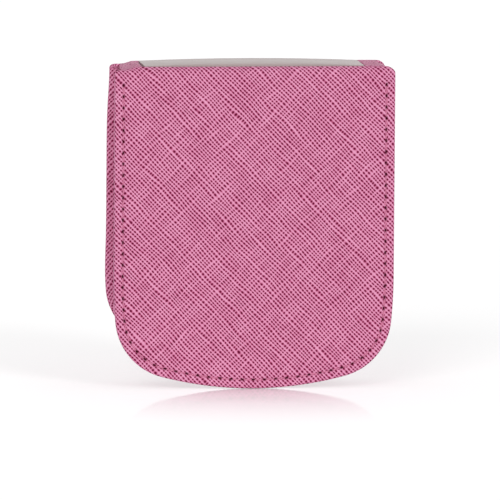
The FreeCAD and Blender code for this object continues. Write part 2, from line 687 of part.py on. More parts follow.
def stitch_path(base, start):
    """The line of the stitches round both sides and the bottom, as one wire in the plane y = 0."""
    inset = "stitch_inset"
    (bx, bz), (cx, cz), (sx, sz), (rb, rc, rs), lower, upper = outline_numbers(inset, base)
    half = value(f"case_width / 2 - {inset}")

    def round_part(centre, radius, first, last):
        at = [
            Vector(centre[0] + radius * math.cos(a), 0, centre[1] + radius * math.sin(a))
            for a in (first, (first + last) / 2, last)
        ]
        return Part.Arc(*at).toShape()

    def straight(first, last):
        return Part.LineSegment(Vector(*first), Vector(*last)).toShape()

    return Part.Wire([
        straight((-half, 0, start), (-half, 0, sz)),
        round_part((-sx, sz), rs, math.pi, math.pi - upper),
        round_part((-cx, cz), rc, math.pi - upper, math.pi - lower),
        round_part((bx, bz), rb, -math.pi - lower, -math.pi / 2),
        round_part((bx, bz), rb, -math.pi / 2, lower),
        round_part((cx, cz), rc, lower, upper),
        round_part((sx, sz), rs, upper, 0),
        straight((half, 0, sz), (half, 0, start)),
    ])


def stitches(label, base, outside):
    """A row of short threads that reach forward from the given plane by thread_rise."""
    path = stitch_path(base, value("stitch_start"))
    count = round(path.Length / value("stitch_pitch"))
    along = path.discretize(Number=2 * count + 1)
    length, width, rise = (value(n) for n in ("stitch_length", "thread_width", "thread_rise"))
    threads = []
    for i in range(count):
        before, middle, after = along[2 * i], along[2 * i + 1], along[2 * i + 2]
        run = after - before
        bar = Part.makeBox(length, rise, width, Vector(-length / 2, 0, -width / 2))
        bar.Placement = Placement(middle, Rotation(Vector(1, 0, 0), run))
        threads.append(bar)
    thread = doc.addObject("Part::Feature", label)
    thread.Label = label
    thread.Shape = Part.makeCompound(threads)
    thread.Placement = Placement(Vector(0, value(outside) - rise, 0), Rotation())
    return thread


def back_stitches():
    """The back panel's stitches, sunk flush into its skin so that the panel lies flat."""
    skin = doc.addObject("Part::Cut", "back_skin")
    skin.Label = "back_skin"
    skin.Base = doc.getObject("back_sheet")
    skin.Tool = stitches("back_thread", "body_lift", BACK)


flap_parts()
strap_parts()
back_parts()
side_band()
tray()
insert()
lens_container()
cap_parts()
bottle_parts()
tweezer_parts()
inserter_parts()
stitches("flap_thread", "0", FRONT)
back_stitches()
doc.recompute()

NODES = (
    "flap_skin", "flap_board", "flap_lining", "mirror", "mirror_frame", "flap_magnet", "flap_thread",
    "left_strap", "left_strap_lining", "right_strap", "right_strap_lining",
    "back_skin", "back_board", "back_lining", "back_thread", "side_band",
    "tray", "tray_magnet", "insert_top", "insert_middle", "insert_base",
    "lens_container", "left_seal", "left_cap", "right_seal", "right_cap",
    "bottle", "bottle_nozzle", "bottle_cap_seal", "bottle_cap",
    "tweezers_tail", "upper_arm", "upper_tip", "lower_arm", "lower_tip",
    "inserter_stick", "inserter_cup",
)

for item in doc.Objects:
    if {"Invalid", "Error"} & set(item.State):
        raise RuntimeError(f"{item.Label} failed: {item.State}")
made = {item.Label: item for item in doc.Objects}
for node in NODES:
    shape = made[node].Shape
    if shape.isNull() or not shape.isValid():
        raise RuntimeError(f"{node} has no valid shape")
os.makedirs("parts", exist_ok=True)
for node in NODES:
    made[node].Shape.exportStep(os.path.join("parts", f"{node}.step"))
    print(f"{node}: {made[node].Shape.Volume / 1000:.3f} cm3, {len(made[node].Shape.Solids)} solids")
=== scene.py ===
import json
import math

import bmesh
import bpy
import numpy as np
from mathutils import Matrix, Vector, geometry


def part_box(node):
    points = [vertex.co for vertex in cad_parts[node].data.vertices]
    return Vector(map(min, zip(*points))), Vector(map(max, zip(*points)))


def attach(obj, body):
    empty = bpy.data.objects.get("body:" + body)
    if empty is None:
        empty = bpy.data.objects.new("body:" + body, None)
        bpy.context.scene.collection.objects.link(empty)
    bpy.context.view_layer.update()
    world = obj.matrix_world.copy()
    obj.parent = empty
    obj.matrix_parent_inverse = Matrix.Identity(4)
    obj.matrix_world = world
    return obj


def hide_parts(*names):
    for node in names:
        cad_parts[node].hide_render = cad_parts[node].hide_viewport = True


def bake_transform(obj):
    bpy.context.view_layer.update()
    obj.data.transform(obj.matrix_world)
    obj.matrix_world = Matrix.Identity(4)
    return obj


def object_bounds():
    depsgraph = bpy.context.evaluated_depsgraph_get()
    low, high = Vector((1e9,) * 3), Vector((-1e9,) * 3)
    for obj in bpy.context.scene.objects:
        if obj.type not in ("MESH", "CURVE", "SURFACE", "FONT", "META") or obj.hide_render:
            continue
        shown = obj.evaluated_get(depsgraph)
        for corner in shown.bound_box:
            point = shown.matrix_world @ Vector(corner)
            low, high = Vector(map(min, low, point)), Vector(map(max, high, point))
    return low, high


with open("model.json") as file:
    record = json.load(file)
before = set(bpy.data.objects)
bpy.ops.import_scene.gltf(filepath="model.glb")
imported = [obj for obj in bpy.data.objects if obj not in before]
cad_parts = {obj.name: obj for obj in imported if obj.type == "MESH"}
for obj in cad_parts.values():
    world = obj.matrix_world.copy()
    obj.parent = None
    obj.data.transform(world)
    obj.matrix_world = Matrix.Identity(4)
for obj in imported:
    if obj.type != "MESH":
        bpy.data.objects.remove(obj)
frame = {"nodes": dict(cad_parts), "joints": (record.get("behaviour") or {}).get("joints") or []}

# A closed folding leatherette case. X runs to the right, Y to the back and Z up, in metres.
# Leather pieces are laid out flat, as they were cut, and then wrapped round the two top folds.

MM = 0.001
cad_low, cad_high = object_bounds()


# --- measures from the frame ---

joints = {j["name"]: j for j in frame["joints"]}
AXIS_Y = joints["spine_fold"]["pos_m"][1]            # the folds' axes stand at +- this depth
AXIS_Z = joints["spine_fold"]["pos_m"][2]
strap_low, strap_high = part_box("right_strap")
mirror_low, mirror_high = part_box("mirror")
magnet_low, magnet_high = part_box("flap_magnet")
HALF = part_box("flap_skin")[1].x
FOLD_R = strap_high.z - AXIS_Z                       # outside radius of both folds
INNER_DEPTH = FOLD_R - 0.06 * MM                     # depth of a panel's inner face
FOLD_RUN = FOLD_R * math.pi / 2                      # leather from one end of a fold to the other
TOP_V = AXIS_Z + FOLD_RUN                            # flat height at which the leather lies level
STRAP_IN, STRAP_OUT = strap_low.x, strap_high.x
LINING = 0.4 * MM
BODY_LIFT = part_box("back_skin")[0].z

# the outline that both panels share, as in the CAD
BOTTOM_R, CORNER_R, SHOULDER_R, TAPER = 112 * MM, 19.5 * MM, 150 * MM, 0.6 * MM
STITCH_INSET, STITCH_PITCH, STITCH_START = 2.8 * MM, 3.5 * MM, 95.2 * MM


# --- flat shapes ---

SPACING = 0.8 * MM                                   # between the points of an outline


def arc(centre, radius, first, last, step=SPACING):
    """Points along an arc, without its last one."""
    count = max(2, math.ceil(abs(last - first) * max(radius, 0.2 * MM) / step))
    turns = [first + (last - first) * i / count for i in range(count)]
    return [(centre[0] + radius * math.cos(t), centre[1] + radius * math.sin(t)) for t in turns]


def run(first, last):
    """Points along a straight line, without its last one."""
    first, last = np.array(first), np.array(last)
    count = max(1, math.ceil(np.linalg.norm(last - first) / SPACING))
    return [tuple(first + (last - first) * i / count) for i in range(count)]


def corner_centre(base):
    """The middle of a panel's lower right corner's arc."""
    x = HALF - TAPER - CORNER_R
    return x, base + BOTTOM_R - math.sqrt((BOTTOM_R - CORNER_R) ** 2 - x ** 2)


def hanging_edge(inset, base, start):
    """The outline from start on the left side, round the bottom, to start on the right side."""
    corner_x, corner_z = corner_centre(base)
    bottom_z = base + BOTTOM_R
    shoulder_x = HALF - SHOULDER_R
    shoulder_z = corner_z + math.sqrt((SHOULDER_R - CORNER_R) ** 2 - (corner_x - shoulder_x) ** 2)
    lower = math.atan2(corner_z - bottom_z, corner_x)
    upper = math.atan2(corner_z - shoulder_z, corner_x - shoulder_x)
    half = HALF - inset
    return (
        run((-half, start), (-half, shoulder_z))
        + arc((-shoulder_x, shoulder_z), SHOULDER_R - inset, math.pi, math.pi - upper)
        + arc((-corner_x, corner_z), CORNER_R - inset, math.pi - upper, math.pi - lower)
        + arc((0, bottom_z), BOTTOM_R - inset, -math.pi - lower, lower)
        + arc((corner_x, corner_z), CORNER_R - inset, lower, upper)
        + arc((shoulder_x, shoulder_z), SHOULDER_R - inset, upper, 0)
        + run((half, shoulder_z), (half, start))
        + [(half, start)]
    )


def flat_height(z):
    """The flat height of a point that stands at height z on the outside of the leather."""
    if z <= AXIS_Z:
        return z
    return AXIS_Z + FOLD_R * math.asin(min(1, (z - AXIS_Z) / FOLD_R))


def panel_outline(base, tab_end):
    """A whole cut panel: the hanging part, its two round top corners and its two tabs."""
    nook = 0.5 * MM                                  # hollow between corner and tab
    fillet = 0.5 * MM                                # hollow beside the middle of the top edge
    corner = 2.2 * MM                                # radius of the two top corners
    corner_z = strap_high.z - corner
    side = hanging_edge(0, base, corner_z)
    rounded = arc((HALF - corner, corner_z), corner, 0, math.pi / 2, 0.3 * MM)
    right = [(x, flat_height(z)) for x, z in rounded if x > STRAP_OUT + nook]
    right += arc((STRAP_OUT + nook, TOP_V + nook), nook, -math.pi / 2, -math.pi, 0.2 * MM)
    right += run((STRAP_OUT, TOP_V + nook), (STRAP_OUT, tab_end))
    right += run((STRAP_OUT, tab_end), (STRAP_IN, tab_end))
    right += run((STRAP_IN, tab_end), (STRAP_IN, TOP_V + fillet))
    right += arc((STRAP_IN - fillet, TOP_V + fillet), fillet, 0, -math.pi / 2, 0.3 * MM)
    ends = (STRAP_IN - fillet, TOP_V), (fillet - STRAP_IN, TOP_V)
    middle = run(*ends) + [ends[1]]
    left = [(-x, v) for x, v in reversed(right)]
    return side[:-1] + right + middle + left[:-1]


def shifted(loop, inset):
    """A loop drawn in by inset; the loop runs anticlockwise."""
    p = np.array(loop)
    ahead, behind = np.roll(p, -1, 0) - p, p - np.roll(p, 1, 0)
    ahead /= np.linalg.norm(ahead, axis=1)[:, None]
    behind /= np.linalg.norm(behind, axis=1)[:, None]
    mean = ahead + behind
    mean /= np.linalg.norm(mean, axis=1)[:, None]
    normal = np.stack([-mean[:, 1], mean[:, 0]], 1)
    mitre = np.clip(1 / np.maximum(0.5, (mean * ahead).sum(1)), 1, 2)
    return [tuple(q) for q in p + normal * (inset * mitre)[:, None]]


def segments(line, closed=True):
    p = np.array(line)
    return (p, np.roll(p, -1, 0)) if closed else (p[:-1], p[1:])


def distance(points, ends):
    """The distance of each point from the nearest of a set of segments."""
    a, b = ends
    best = np.full(len(points), 1e9)
    for first in range(0, len(points), 2000):
        q = points[first:first + 2000, None, :]
        d = b - a
        t = np.clip(((q - a) * d).sum(2) / np.maximum((d * d).sum(1), 1e-18), 0, 1)
        near = np.linalg.norm(q - (a + t[..., None] * d), axis=2).min(1)
        best[first:first + 2000] = near
    return best


def outward(points, ends):
    """The direction out over the nearest of the segments of an anticlockwise outline."""
    a, b = ends
    along_edge = (b - a) / np.linalg.norm(b - a, axis=1)[:, None]
    middle = (a + b) / 2
    nearest = np.concatenate([
        np.linalg.norm(points[i:i + 2000, None] - middle[None], axis=2).argmin(1)
        for i in range(0, len(points), 2000)
    ])
    return np.stack([along_edge[nearest, 1], -along_edge[nearest, 0]], 1)


def inside(points, loop):
    """Whether each point lies inside a loop."""
    a, b = segments(loop)
    x, y = points[:, 0, None], points[:, 1, None]
    crosses = (a[:, 1] > y) != (b[:, 1] > y)
    rise = np.where(b[:, 1] == a[:, 1], 1, b[:, 1] - a[:, 1])
    at = a[:, 0] + (y - a[:, 1]) * (b[:, 0] - a[:, 0]) / rise
    return (crosses & (x < at)).sum(1) % 2 == 1


def rectangle(x0, z0, x1, z1, radius):
    """An anticlockwise rectangle with round corners."""
    quarter = math.pi / 2
    corners = ((x1, z0, -1, 1), (x1, z1, -1, -1), (x0, z1, 1, -1), (x0, z0, 1, 1))
    points = []
    for turn, (x, z, dx, dz) in enumerate(corners):
        centre = (x + dx * radius, z + dz * radius)
        first = (turn - 1) * quarter
        points += arc(centre, radius, first, first + quarter, 0.4 * MM)
        points.append((centre[0] + radius * math.cos(first + quarter),
                       centre[1] + radius * math.sin(first + quarter)))
    return points


def along(line, count):
    """count + 1 evenly spaced points along an open line."""
    p = np.array(line)
    length = np.concatenate([[0], np.cumsum(np.linalg.norm(np.diff(p, axis=0), axis=1))])
    at = np.linspace(0, length[-1], count + 1)
    return np.stack([np.interp(at, length, p[:, 0]), np.interp(at, length, p[:, 1])], 1)


def smooth(t):
    t = np.clip(t, 0, 1)
    return t * t * (3 - 2 * t)


# --- meshes ---


def new_object(name, verts, faces):
    mesh = bpy.data.meshes.new(name)
    mesh.from_pydata([tuple(v) for v in verts], [], [tuple(f) for f in faces])
    obj = bpy.data.objects.new(name, mesh)
    bpy.context.scene.collection.objects.link(obj)
    return obj


def tidy(obj, angle=50):
    """Turns every face outwards and shades smooth except over sharp edges."""
    bm = bmesh.new()
    bm.from_mesh(obj.data)
    bmesh.ops.recalc_face_normals(bm, faces=bm.faces)
    bm.to_mesh(obj.data)
    bm.free()
    obj.data.shade_smooth()
    obj.data.set_sharp_from_angle(angle=math.radians(angle))


def vector_attribute(obj, name, values):
    attribute = obj.data.attributes.new(name, "FLOAT_VECTOR", "POINT")
    attribute.data.foreach_set("vector", np.asarray(values, np.float32).ravel())


ROW = 0.866                                          # between rows of triangles, against their step


def slab(name, outline, place, outer, inner, holes=(), lines=(), dots=(), skin=None,
         step=1.5 * MM):
    """A closed sheet with two faces, of triangles about one step wide. outer and inner give each
    face's depth at flat points, and place turns flat points and depths into the row frame. lines
    and dots are more places for vertices, and skin gives where each vertex, of the outer face and
    then of the inner, lies on the uncut leather."""
    points, edges = [], []
    for line, closed in [(outline, True)] + [(h, True) for h in holes] + list(lines):
        first, count = len(points), len(line)
        points += line
        pairs = count if closed else count - 1
        edges += [(first + i, first + (i + 1) % count) for i in range(pairs)]
    points += [tuple(d) for d in dots]
    fixed = np.array(points)
    low, high = fixed.min(0), fixed.max(0)
    rows = int((high[1] - low[1]) / (step * ROW))
    columns = int((high[0] - low[0]) / step) + 1
    grid = np.array([
        (low[0] + (i + 0.5 * (j % 2)) * step, low[1] + j * step * ROW)
        for j in range(rows + 1) for i in range(columns)
    ])
    nearest = np.concatenate([
        np.linalg.norm(grid[i:i + 500, None] - fixed[None], axis=2).min(1)
        for i in range(0, len(grid), 500)
    ])
    grid = grid[(nearest > 0.45 * step) & inside(grid, outline)]
    every = [Vector(p) for p in points] + [Vector(p) for p in grid]
    verts, _, faces, *_ = geometry.delaunay_2d_cdt(every, edges, [], 0, 1e-8)
    flat = np.array([tuple(v) for v in verts])
    tri = np.array([tuple(f) for f in faces])
    middle = flat[tri].mean(1)
    keep = inside(middle, outline)
    for hole in holes:
        keep &= ~inside(middle, hole)
    used, tri = np.unique(tri[keep], return_inverse=True)
    tri, flat = tri.reshape(-1, 3), flat[used]
    top, under = place(flat, outer(flat)), place(flat, inner(flat))
    count = len(flat)
    seen = {}
    for a, b, c in tri:
        for edge in ((a, b), (b, c), (c, a)):
            seen[edge] = True
    rim = [e for e in seen if (e[1], e[0]) not in seen]
    all_faces = [tuple(t) for t in tri] + [(c + count, b + count, a + count) for a, b, c in tri]
    all_faces += [(b, a, a + count, b + count) for a, b in rim]
    obj = new_object(name, np.concatenate([top, under]), all_faces)
    grain = np.tile(flat, (2, 1)) if skin is None else skin(flat)
    vector_attribute(obj, "flat", np.column_stack([grain, np.zeros(2 * count)]))
    tidy(obj)
    return obj, flat


def spread(v):
    """How much wider than cut the back panel lies: more at its lower corners, less at its tabs."""
    lower = np.exp(-((v - 28 * MM) / (12 * MM)) ** 2)
    upper = np.exp(-((v - AXIS_Z) / (11 * MM)) ** 2)
    return 0.2 * MM + 0.65 * MM * lower - 0.75 * MM * upper


def wrap(side):
    """Places flat points of a panel: hanging in front (side -1) or behind (side 1), round the
    fold, and level over the top."""
    def place(flat, depth):
        u, v = flat[:, 0], flat[:, 1]
        if side == 1:
            u = u * (1 + spread(v) / HALF)
        s = v - AXIS_Z
        turn = np.clip(s / FOLD_R, 0, math.pi / 2)
        reach = FOLD_R - depth
        y = AXIS_Y + reach * np.cos(turn) - np.maximum(0, s - FOLD_RUN)
        z = AXIS_Z + reach * np.sin(turn) + np.minimum(0, s)
        return np.column_stack([u, side * y, z])
    return place


def rounding(edge_distance, radius):
    """How deep a face lies at a distance from an edge that is rounded to a radius."""
    t = np.clip(1 - edge_distance / radius, 0, 1)
    return radius * (1 - np.sqrt(np.maximum(0, 1 - t * t)))


def swell(flat, seed):
    """A faint, wide unevenness of hand-worked leather, from -1 to 1."""
    u, v = flat[:, 0] / MM, flat[:, 1] / MM
    return (
        np.sin(u / 13.0 + 0.7 * seed + 0.6 * np.sin(v / 17.0))
        * np.sin(v / 19.0 + 1.3 * seed + 0.5 * np.sin(u / 15.0))
    )


# --- the two leather panels ---

EDGE_R = 0.8 * MM
SEAM_DEEP, SEAM_WIDE = 0.14 * MM, 0.42 * MM          # the groove that the stitches pull
RECESS = 1.65 * MM                                   # depth of the mirror's and the magnet's seats
HOLE_LONG, HOLE_WIDE, HOLE_DEEP = 0.5 * MM, 0.28 * MM, 0.75 * MM


def stitch_holes(base):
    """The needle holes round a panel, with the direction of the seam at each."""
    line = hanging_edge(STITCH_INSET, base, STITCH_START)
    length = sum(math.dist(a, b) for a, b in zip(line, line[1:]))
    holes = along(line, round(length / STITCH_PITCH))
    way = np.gradient(holes, axis=0)
    return holes, way / np.linalg.norm(way, axis=1)[:, None]


def hole_share(flat, holes, way):
    """How far each point lies within a needle hole: 1 in the middle of one, 0 away from them."""
    share = np.zeros(len(flat))
    for centre, ahead in zip(holes, way):
        near = flat - centre
        close = (near ** 2).sum(1) < (4 * HOLE_LONG) ** 2
        a = near[close] @ ahead
        n = near[close] @ np.array([-ahead[1], ahead[0]])
        share[close] += np.exp(-(a / HOLE_LONG) ** 4 - (n / HOLE_WIDE) ** 2)
    return share


def leather_panel(name, base, tab_end, side, recesses, seed):
    """One leather panel on its board, with round edges, a seam line and recesses in its inside."""
    outline = panel_outline(base, tab_end)
    open_end = tab_end - 1e-6
    a, b = segments(outline)
    real = (a[:, 1] < open_end) | (b[:, 1] < open_end)
    edge = (a[real], b[real])
    seam = hanging_edge(STITCH_INSET, base, STITCH_START)
    seam_ends = segments(seam, closed=False)
    holes, way = stitch_holes(base)
    lines = [(shifted(outline, d * MM), True) for d in (0.06, 0.18, 0.4, 0.8)]
    lines += [
        (hanging_edge(STITCH_INSET + d * MM, base, STITCH_START), False)
        for d in (-0.75, -0.45, -0.2, 0.2, 0.45, 0.75)
    ]
    for recess in recesses:
        lines += [(shifted(recess, d * MM), True) for d in (-0.05, 0.05)]
    dots = [
        centre + ahead * r * 1.1 * HOLE_LONG * math.cos(t)
        + np.array([-ahead[1], ahead[0]]) * r * HOLE_WIDE * math.sin(t)
        for centre, ahead in zip(holes, way)
        for r, count in ((0, 1), (0.5, 8), (1, 10), (1.5, 12))
        for t in (2 * math.pi * k / count for k in range(count))
    ]

    def outer(flat):
        from_edge = distance(flat, edge)
        from_seam = distance(flat, seam_ends)
        margin = smooth(from_edge / (5 * MM))
        sunk = SEAM_DEEP * np.exp(-(from_seam / SEAM_WIDE) ** 2)
        puff = 0.1 * MM * np.exp(-((from_seam - 1.5 * MM) / (0.9 * MM)) ** 2)
        return (
            rounding(from_edge, EDGE_R) + sunk - puff * smooth(from_edge / MM) + droop(flat)
            + HOLE_DEEP * hole_share(flat, holes, way) - 0.06 * MM * margin * swell(flat, seed)
        )

    def inner(flat):
        from_edge = distance(flat, edge)
        from_seam = distance(flat, seam_ends)
        tab = smooth((flat[:, 1] - AXIS_Z + 2 * MM) / (2 * MM))
        sunk = SEAM_DEEP * np.exp(-(from_seam / SEAM_WIDE) ** 2)
        depth = INNER_DEPTH - (LINING + 0.02 * MM) * tab - sunk
        depth = depth - HOLE_DEEP * hole_share(flat, holes, way)
        for recess in recesses:
            depth = np.where(inside(flat, recess), FOLD_R - RECESS, depth)
        rounded = rounding(from_edge, EDGE_R) * (1 - 0.75 * tab)
        return depth - rounded - pleats(flat, base, from_edge)

    def skin(flat):
        """One piece of leather goes round the rim, so its grain runs on over it to the inside."""
        from_edge = distance(flat, edge)
        way_out = outward(flat, edge)
        turn = np.arcsin(np.clip(1 - from_edge / EDGE_R, 0, 1))
        beyond = np.maximum(0, from_edge - EDGE_R)
        out = EDGE_R * (turn - 1) + from_edge - beyond
        rim = EDGE_R * (math.pi / 2 - 1) + FOLD_R - 2 * EDGE_R
        back = rim + EDGE_R * (math.pi / 2 - turn) + beyond + from_edge
        back = np.where(from_edge < 6 * MM, back, 0)
        return np.concatenate([flat + way_out * out[:, None], flat + way_out * back[:, None]])

    obj, flat = slab(name, outline, wrap(side), outer, inner, lines=lines, dots=dots, skin=skin)
    # The hole share is also the mask by which the leather's colour is darkened with painted shade
    # in the needle holes.
    attribute = obj.data.attributes.new("hole", "FLOAT", "POINT")
    shares = np.tile(hole_share(flat, holes, way), 2)
    attribute.data.foreach_set("value", shares.astype(np.float32))
    return obj


def droop(flat):
    """How far the soft outer edge of the left tab, and the corner beside it, hangs down."""
    over = smooth((flat[:, 1] - AXIS_Z) / FOLD_RUN)
    return 1.0 * MM * over * smooth((-flat[:, 0] - STRAP_OUT + 4.5 * MM) / (4 * MM))


def pleats(flat, base, from_edge):
    """Small gathers in the turned-in margin, where it goes round the lower corners."""
    corner_x, corner_z = corner_centre(base)
    turn = np.arctan2(flat[:, 1] - corner_z, np.abs(flat[:, 0]) - corner_x)
    place = smooth((turn + 1.45) / 0.2) * smooth((0.35 - turn) / 0.25)
    reach = smooth(from_edge / (0.9 * MM)) * smooth((5 * MM - from_edge) / (2 * MM))
    wave = 0.5 - 0.5 * np.cos(turn * 16.0 + 2.0 * np.sin(turn * 3.0) + 2.2)
    return -0.55 * MM * place * reach * wave ** 3


mirror_seat = rectangle(mirror_low.x, mirror_low.z, mirror_high.x, mirror_high.z, 6 * MM)
magnet_seat = rectangle(magnet_low.x, magnet_low.z, magnet_high.x, magnet_high.z, 0.5 * MM)
TAB_END = TOP_V + AXIS_Y                             # the two leathers meet half way over the top

flap_leather = leather_panel(
    "flap_leather", 0, TAB_END, -1,
    [shifted(mirror_seat, -0.15 * MM), shifted(magnet_seat, -0.15 * MM)], 1)
back_leather = leather_panel("back_leather", BODY_LIFT, TAB_END, 1, [], 4)


# --- stitches ---

THREAD_R = 0.21 * MM


def stitches(name, base, side):
    """Lockstitches: on each face a round thread comes up out of one hole and goes into the next."""
    holes, _ = stitch_holes(base)
    rings, around = 11, 8
    verts, faces, twist = [], [], []
    faced = [(a, b, face) for face in (1, -1) for a, b in zip(holes, holes[1:])]
    for a, b, face in faced:
        ahead = (b - a) / np.linalg.norm(b - a)
        across = np.array([-ahead[1], ahead[0]])
        first = len(verts)
        skin = 0 if face == 1 else INNER_DEPTH
        for i in range(rings):
            t = i / (rings - 1)
            centre = a + (b - a) * (0.09 + 0.82 * t)
            end = abs(2 * t - 1)
            sink = 0.07 * MM + 0.55 * MM * end ** 5
            radius = THREAD_R * (1 - 0.3 * end ** 4)
            for k in range(around):
                angle = 2 * math.pi * k / around
                flat = centre + across * radius * math.cos(angle)
                depth = skin + face * (sink - radius * math.sin(angle))
                verts.append(wrap(side)(flat[None], np.array([depth]))[0])
                # The third value, how near the thread is to an end, is what the thread's shader
                # uses to paint shade on the ends that go into the holes.
                twist.append((t * STITCH_PITCH, angle, end))
        for i in range(rings - 1):
            here, there = first + i * around, first + (i + 1) * around
            for k in range(around):
                after = (k + 1) % around
                faces.append((here + k, here + after, there + after, there + k))
        faces.append(tuple(range(first, first + around)))
        last = first + (rings - 1) * around
        faces.append(tuple(reversed(range(last, last + around))))
    obj = new_object(name, verts, faces)
    vector_attribute(obj, "flat", twist)
    tidy(obj, 70)
    return obj


flap_stitches = stitches("flap_stitches", 0, -1)
back_stitches = stitches("back_stitches", BODY_LIFT, 1)


# --- the flap's lining ---


def flap_lining():
    """A woven lining let into the flap's leather margin, with the mirror's opening in it."""
    inset = 3.6 * MM
    top = AXIS_Z - 3 * MM
    outline = hanging_edge(inset, 0, top)
    sight = rectangle(mirror_low.x + 1.2 * MM, mirror_low.z + 1.2 * MM,
                      mirror_high.x - 1.2 * MM, mirror_high.z - 1.2 * MM, 5 * MM)
    outline_ends, sight_ends = segments(outline), segments(sight)

    def face(flat):
        from_edge = distance(flat, outline_ends)
        puff = smooth(from_edge / (1.2 * MM)) * smooth(distance(flat, sight_ends) / (1.5 * MM))
        return FOLD_R + 0.02 * MM - rounding(from_edge, 0.15 * MM) + 0.12 * MM * puff

    def underside(flat):
        return np.full(len(flat), FOLD_R - 0.3 * MM)

    obj, _ = slab("flap_lining_cloth", outline, wrap(-1), underside, face, holes=[sight[::-1]],
                  lines=[(shifted(outline, d * MM), True) for d in (0.1, 0.4, 1.2)], step=2.2 * MM)
    return obj


lining_cloth = flap_lining()


# --- the side band ---


def side_band():
    """The leatherette strip round the tray, drawn in a little between its two edges."""
    low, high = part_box("side_band")
    inset = HALF - high.x
    thick = 0.8 * MM
    path = hanging_edge(inset, BODY_LIFT, high.z)
    line = along(path, 260)
    way = np.gradient(line, axis=0)
    way /= np.linalg.norm(way, axis=1)[:, None]
    inward = np.stack([-way[:, 1], way[:, 0]], 1)
    deep = high.y - low.y - 0.1 * MM
    steps = 14
    rows = []                                        # each: Y, how far in, how soft it is there
    for i in range(steps + 1):
        t = 0.5 - 0.5 * math.cos(math.pi * i / steps)
        soft = math.sin(math.pi * t) ** 2
        lip = max(0, 1 - t * deep / (0.4 * MM))
        rows.append((low.y + t * deep, 0.22 * MM * soft + 0.25 * MM * lip ** 2, soft))
    rows += [(low.y + deep, thick, 0), (low.y + 0.05 * MM, thick, 0)]
    verts, faces, flat = [], [], []
    reach = np.concatenate([[0], np.cumsum(np.linalg.norm(np.diff(line, axis=0), axis=1))])
    for i, (p, n) in enumerate(zip(line, inward)):
        ripple = 0.08 * MM * math.sin(reach[i] / (4.1 * MM)) * math.sin(reach[i] / (11.3 * MM))
        for y, draw, soft in rows:
            q = p + n * (draw + ripple * soft)
            verts.append((q[0], y, q[1]))
            flat.append((y, reach[i], 0))
    across = len(rows)
    for i in range(len(line) - 1):
        for k in range(across):
            a, b = i * across + k, i * across + (k + 1) % across
            faces.append((a, b, b + across, a + across))
    faces.append(tuple(range(across)))
    faces.append(tuple(reversed(range((len(line) - 1) * across, len(line) * across))))
    obj = new_object("band_leather", verts, faces)
    vector_attribute(obj, "flat", flat)
    tidy(obj)
    return obj


band_leather = side_band()


# --- the foam insert ---


def insert_foam():
    """The three foam layers as one softened block, so that no edge of it is sharp."""
    bm = bmesh.new()
    for node in ("insert_top", "insert_middle", "insert_base"):
        bm.from_mesh(frame["nodes"][node].data)
    mesh = bpy.data.meshes.new("insert_foam")
    bm.to_mesh(mesh)
    bm.free()
    obj = bpy.data.objects.new("insert_foam", mesh)
    bpy.context.scene.collection.objects.link(obj)
    remesh = obj.modifiers.new("voxels", "REMESH")
    remesh.mode = "VOXEL"
    remesh.voxel_size = 0.45 * MM
    soften = obj.modifiers.new("soften", "SMOOTH")
    soften.factor, soften.iterations = 0.5, 4
    graph = bpy.context.evaluated_depsgraph_get()
    made = bpy.data.meshes.new_from_object(obj.evaluated_get(graph))
    obj.modifiers.clear()
    obj.data = made
    made.name = "insert_foam"
    made.shade_smooth()
    return obj


foam = insert_foam()


# --- materials ---


def linear(red, green, blue):
    """A colour given as 0-255 screen values, as the linear values that a shader takes."""
    def one(c):
        c /= 255
        return c / 12.92 if c <= 0.04045 else ((c + 0.055) / 1.055) ** 2.4
    return (one(red), one(green), one(blue), 1)


PAINTED_HOLE_SHADE = linear(92, 6, 34)                      # painted shade down in the needle holes and on the thread's ends


class Shader:
    """A material with short ways to add and join its nodes."""

    def __init__(self, name):
        self.material = bpy.data.materials.new(name)
        self.material.use_nodes = True
        self.tree = self.material.node_tree
        self.surface = self.tree.nodes["Principled BSDF"]

    def node(self, kind, inputs=None, **settings):
        made = self.tree.nodes.new(f"ShaderNode{kind}")
        for key, value in settings.items():
            setattr(made, key, value)
        for key, value in (inputs or {}).items():
            self.put(made, key, value)
        return made

    def put(self, node, key, value):
        if hasattr(value, "is_linked"):
            self.tree.links.new(value, node.inputs[key])
        else:
            node.inputs[key].default_value = value

    def math(self, operation, *values, clamp=False):
        made = self.node("Math", dict(enumerate(values)), operation=operation, use_clamp=clamp)
        return made.outputs[0]

    def vector(self, operation, *values):
        made = self.node("VectorMath", operation=operation)
        for i, value in enumerate(values):
            if operation == "SCALE" and i == 1:
                self.put(made, "Scale", value)
            else:
                self.put(made, i, value)
        return made.outputs[1 if operation == "DOT_PRODUCT" else 0]

    def noise(self, where, scale, detail=2.0):
        made = self.node("TexNoise", {"Vector": where, "Scale": scale, "Detail": detail})
        return made.outputs["Fac"]

    def ramp(self, value, *stops):
        made = self.node("ValToRGB", {"Fac": value})
        ramp = made.color_ramp
        while len(ramp.elements) < len(stops):
            ramp.elements.new(0.5)
        for element, (at, colour) in zip(ramp.elements, stops):
            element.position, element.color = at, colour
        return made.outputs["Color"]

    def set(self, **values):
        for key, value in values.items():
            self.put(self.surface, key.replace("_", " "), value)

    def bump(self, height, distance, strength=1.0):
        made = self.node("Bump", {"Height": height, "Distance": distance, "Strength": strength})
        self.set(Normal=made.outputs["Normal"])

    def flat(self):
        """The leather's own flat coordinates, in millimetres."""
        made = self.node("Attribute", attribute_name="flat")
        return self.vector("SCALE", made.outputs["Vector"], 1 / MM)

    def place(self):
        """The piece's own coordinates, in millimetres."""
        return self.vector("SCALE", self.node("TexCoord").outputs["Object"], 1 / MM)


